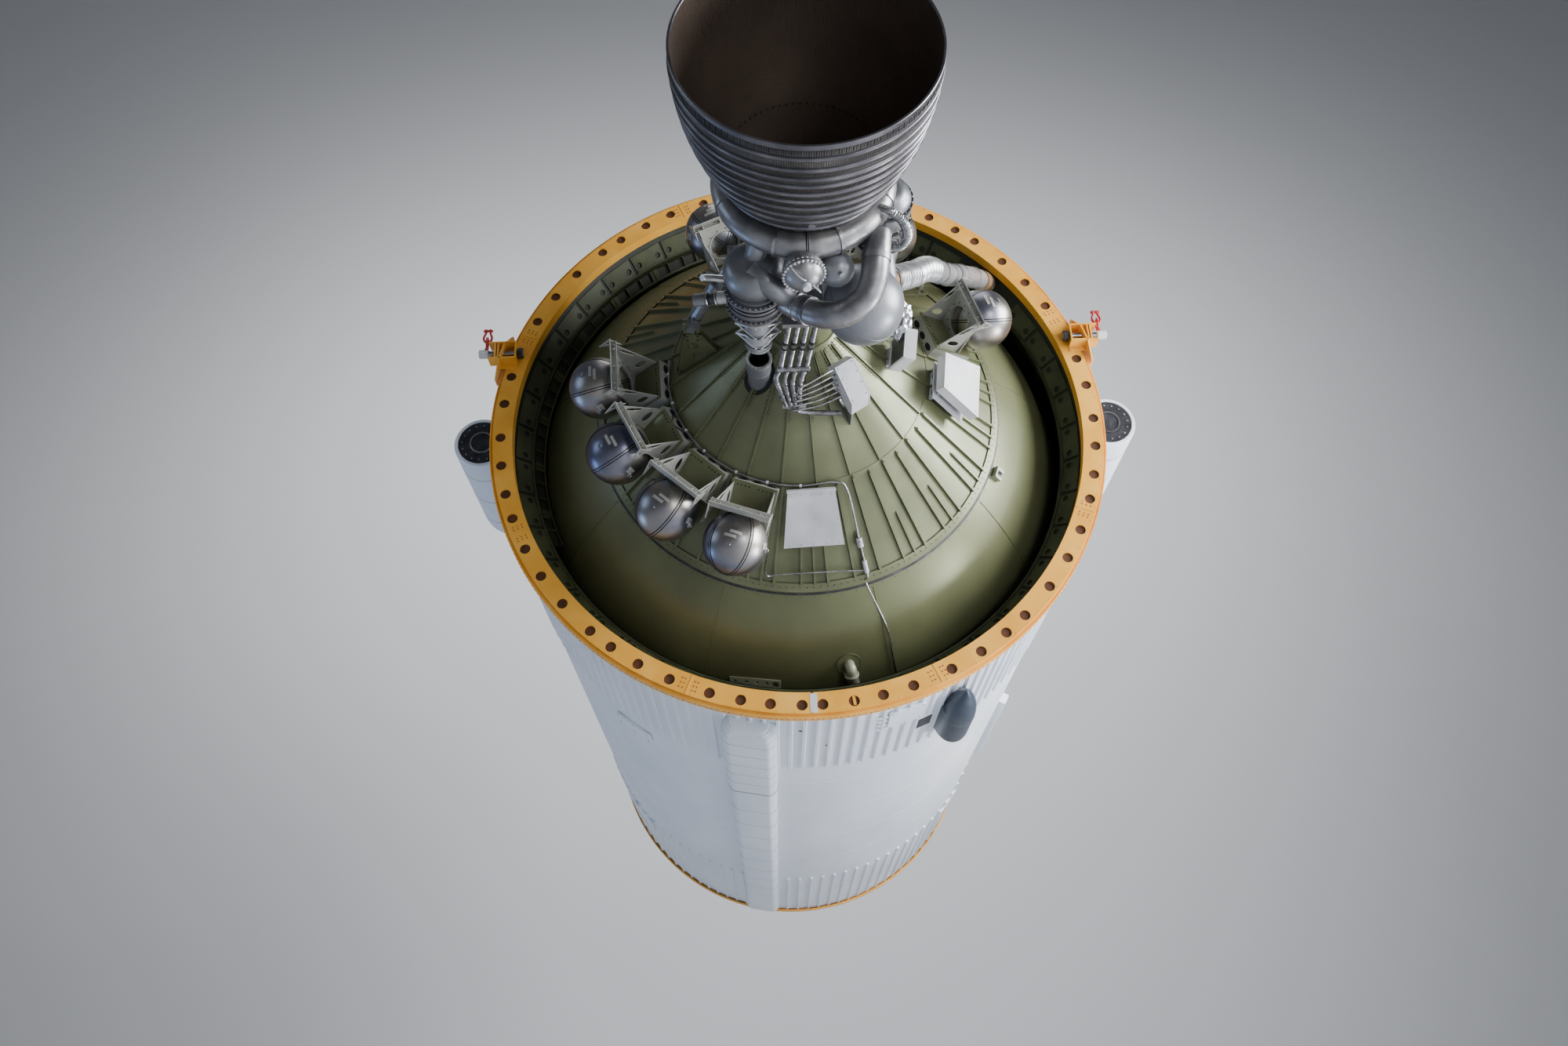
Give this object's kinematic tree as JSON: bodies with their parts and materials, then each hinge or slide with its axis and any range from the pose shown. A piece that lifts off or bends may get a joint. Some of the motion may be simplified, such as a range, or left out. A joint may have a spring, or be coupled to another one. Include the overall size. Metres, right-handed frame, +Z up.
{
  "type": "rocket upper stage on handling rings",
  "caption": "Cylindrical rocket upper stage with a domed tank, thrust cone, gimballed engine with open nozzle bell, side pods, and two handling rings with lifting lugs and shackles.",
  "frame": {"origin": "centre of the aft handling ring's aft face, on the stage's axis", "axes": "+Y forward along the stage's axis, away from the engine; +X to the right seen from the engine end; +Z up"},
  "size_m": [7.8678, 17.75, 6.841],
  "materials": {
    "tank_green": "satin olive primer paint",
    "stage_white": "satin white paint",
    "ring_orange": "satin orange-yellow paint",
    "cone_green": "satin olive primer paint",
    "fairing_slate": "satin dark blue-grey paint",
    "shackle_red": "gloss red paint",
    "box_grey": "satin light grey paint",
    "engine_alloy": "brushed heat-tinted alloy",
    "pump_alloy": "cast and machined alloy",
    "bell_tubes": "brazed tube wall",
    "sphere_metal": "polished forged metal",
    "bracket_metal": "sheet metal, satin",
    "fitting_steel": "machined steel"
  },
  "bodies": {
    "root": {"propellant_tank": "tank_green", "aft_skirt": "stage_white", "forward_skirt": "stage_white", "aft_handling_ring": "ring_orange", "forward_handling_ring": "ring_orange", "lifting_pin_right": "fitting_steel", "lifting_pin_left": "fitting_steel", "sling_shackle_right": "shackle_red", "sling_shackle_left": "shackle_red", "thrust_cone": "cone_green", "oxidiser_stub": "fitting_steel", "gimbal_mount": "fitting_steel", "junction_box": "box_grey", "control_box": "box_grey", "equipment_box": "box_grey", "heat_shield_panel": "box_grey", "main_tunnel": "stage_white", "side_conduit": "stage_white", "ullage_fairing_right": "fairing_slate", "ullage_fairing_left": "fairing_slate", "attitude_pod_right": "stage_white", "attitude_pod_left": "stage_white", "ring_tube": "fitting_steel", "vent_pipe": "cone_green", "fuel_duct": "engine_alloy", "fuel_bellows_fixed": "engine_alloy", "hoses_fixed": "fitting_steel", "pipe_bundle": "fitting_steel", "helium_sphere_1": "sphere_metal", "sphere_bracket_1": "bracket_metal", "helium_sphere_2": "sphere_metal", "sphere_bracket_2": "bracket_metal", "helium_sphere_3": "sphere_metal", "sphere_bracket_3": "bracket_metal", "helium_sphere_4": "sphere_metal", "sphere_bracket_4": "bracket_metal", "helium_sphere_5": "sphere_metal", "sphere_bracket_5": "bracket_metal", "helium_sphere_6": "sphere_metal", "sphere_bracket_6": "bracket_metal", "helium_sphere_7": "sphere_metal", "sphere_bracket_7": "bracket_metal"},
    "gimbal": {"gimbal_cross": "fitting_steel"},
    "engine": {"nozzle": "bell_tubes", "thrust_chamber": "engine_alloy", "exhaust_manifold": "engine_alloy", "oxidiser_pump": "pump_alloy", "fuel_pump": "pump_alloy", "start_tank": "engine_alloy", "gas_generator": "engine_alloy", "small_tank": "engine_alloy", "crossover_duct": "engine_alloy", "hoses_engine": "fitting_steel", "fuel_bellows_engine": "engine_alloy"},
    "yaw_swivel": {"yaw_actuator_swivel": "fitting_steel"},
    "yaw_barrel": {"yaw_actuator_barrel": "fitting_steel"},
    "yaw_rod": {"yaw_actuator_rod": "fitting_steel"},
    "pitch_swivel": {"pitch_actuator_swivel": "fitting_steel"},
    "pitch_barrel": {"pitch_actuator_barrel": "fitting_steel"},
    "pitch_rod": {"pitch_actuator_rod": "fitting_steel"}
  },
  "joints": [
    {"name": "gimbal_pitch", "type": "hinge", "parent": "root", "child": "gimbal", "pos_m": [0, -2.45, 0], "axis": [1, 0, 0], "range_deg": [-7, 7], "deforming": ["hoses_fixed", "fuel_bellows_fixed"]},
    {"name": "gimbal_yaw", "type": "hinge", "parent": "gimbal", "child": "engine", "pos_m": [0, -2.45, 0], "axis": [0, 0, 1], "range_deg": [-7, 7], "deforming": ["hoses_engine", "fuel_bellows_engine"]},
    {"name": "yaw_actuator_tilt", "type": "hinge", "parent": "root", "child": "yaw_swivel", "pos_m": [-1.05, -1.85, 0], "axis": [1, 0, 0], "range_deg": [-3.3, 3.3]},
    {"name": "yaw_actuator_swing", "type": "hinge", "parent": "yaw_swivel", "child": "yaw_barrel", "pos_m": [-1.05, -1.85, 0], "axis": [0, 0, 1], "range_deg": [-1.3, 1.3]},
    {"name": "yaw_actuator_stroke", "type": "slide", "parent": "yaw_barrel", "child": "yaw_rod", "axis": [0.3939, -0.9191, 0], "range_m": [-0.092, 0.092]},
    {"name": "pitch_actuator_tilt", "type": "hinge", "parent": "root", "child": "pitch_swivel", "pos_m": [0, -1.85, 1.05], "axis": [0, 0, 1], "range_deg": [-3.3, 3.3]},
    {"name": "pitch_actuator_swing", "type": "hinge", "parent": "pitch_swivel", "child": "pitch_barrel", "pos_m": [0, -1.85, 1.05], "axis": [1, 0, 0], "range_deg": [-1.3, 1.3]},
    {"name": "pitch_actuator_stroke", "type": "slide", "parent": "pitch_barrel", "child": "pitch_rod", "axis": [0, -0.9191, -0.3939], "range_m": [-0.092, 0.092]}
  ],
  "couplings": [
    {"joint": "yaw_actuator_tilt", "follows": "gimbal_pitch", "ratio": 0.42857},
    {"joint": "yaw_actuator_swing", "follows": "gimbal_yaw", "ratio": 0.15517},
    {"joint": "yaw_actuator_stroke", "follows": "gimbal_yaw", "m_per_rad": 0.72875},
    {"joint": "pitch_actuator_tilt", "follows": "gimbal_yaw", "ratio": 0.42857},
    {"joint": "pitch_actuator_swing", "follows": "gimbal_pitch", "ratio": 0.15517},
    {"joint": "pitch_actuator_stroke", "follows": "gimbal_pitch", "m_per_rad": 0.72875}
  ]
}
